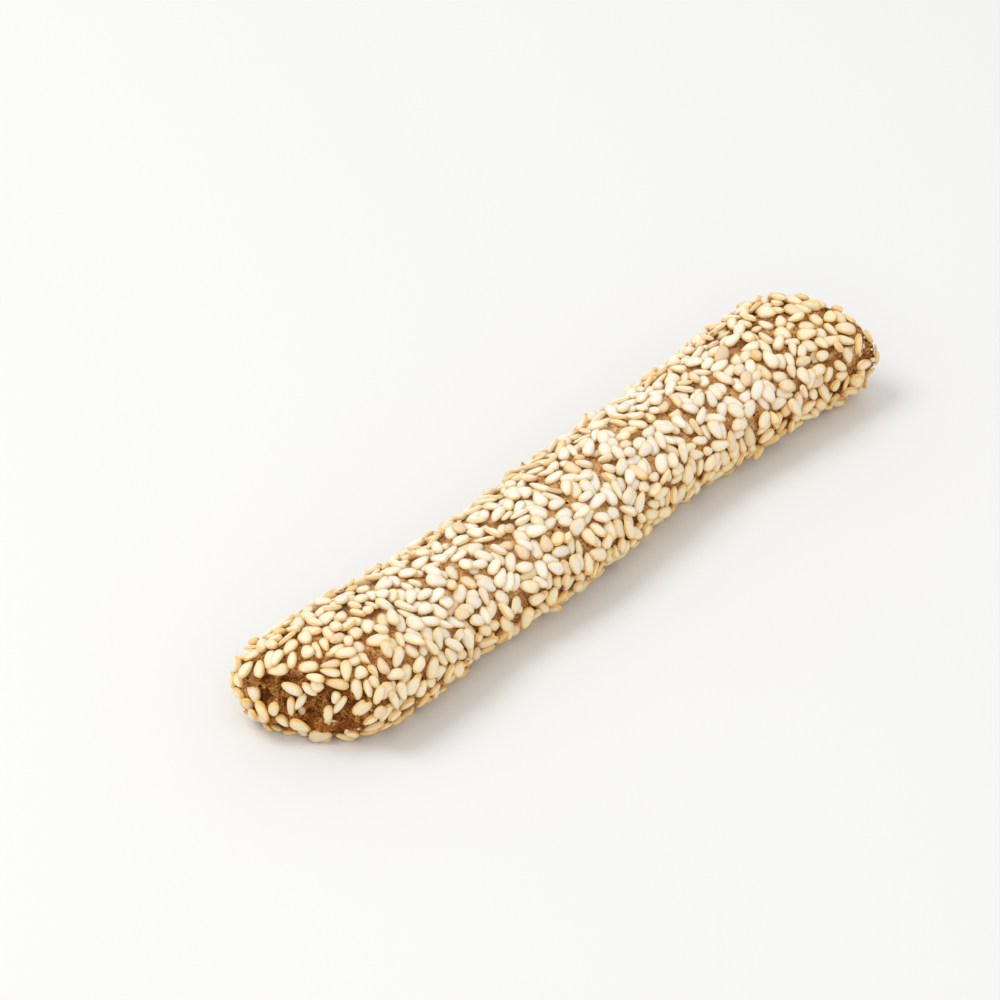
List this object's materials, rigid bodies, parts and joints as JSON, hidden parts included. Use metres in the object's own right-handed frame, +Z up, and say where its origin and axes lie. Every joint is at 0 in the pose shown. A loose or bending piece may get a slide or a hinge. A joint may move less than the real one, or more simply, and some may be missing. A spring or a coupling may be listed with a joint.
{
  "type": "grissini breadstick with sesame seeds",
  "caption": "Short thick hand-rolled breadstick, a little flattened, cut off slantwise at both ends, with sesame seeds baked on all round.",
  "frame": {"origin": "on the flat underside, below the middle of the whole stick's box", "axes": "+X along the stick towards its blunter, straighter cut end, +Z up, -X towards the end whose cut face is sloped and bare"},
  "size_m": [0.1254, 0.0238, 0.0156],
  "materials": {
    "crust": "dry matt golden-brown baked dough, finely pitted, with darker cut ends",
    "sesame": "smooth softly glossy cream-coloured hulled seeds, some toasted golden at the rim and the point"
  },
  "bodies": {
    "root": {"breadstick": "crust"}
  },
  "joints": []
}
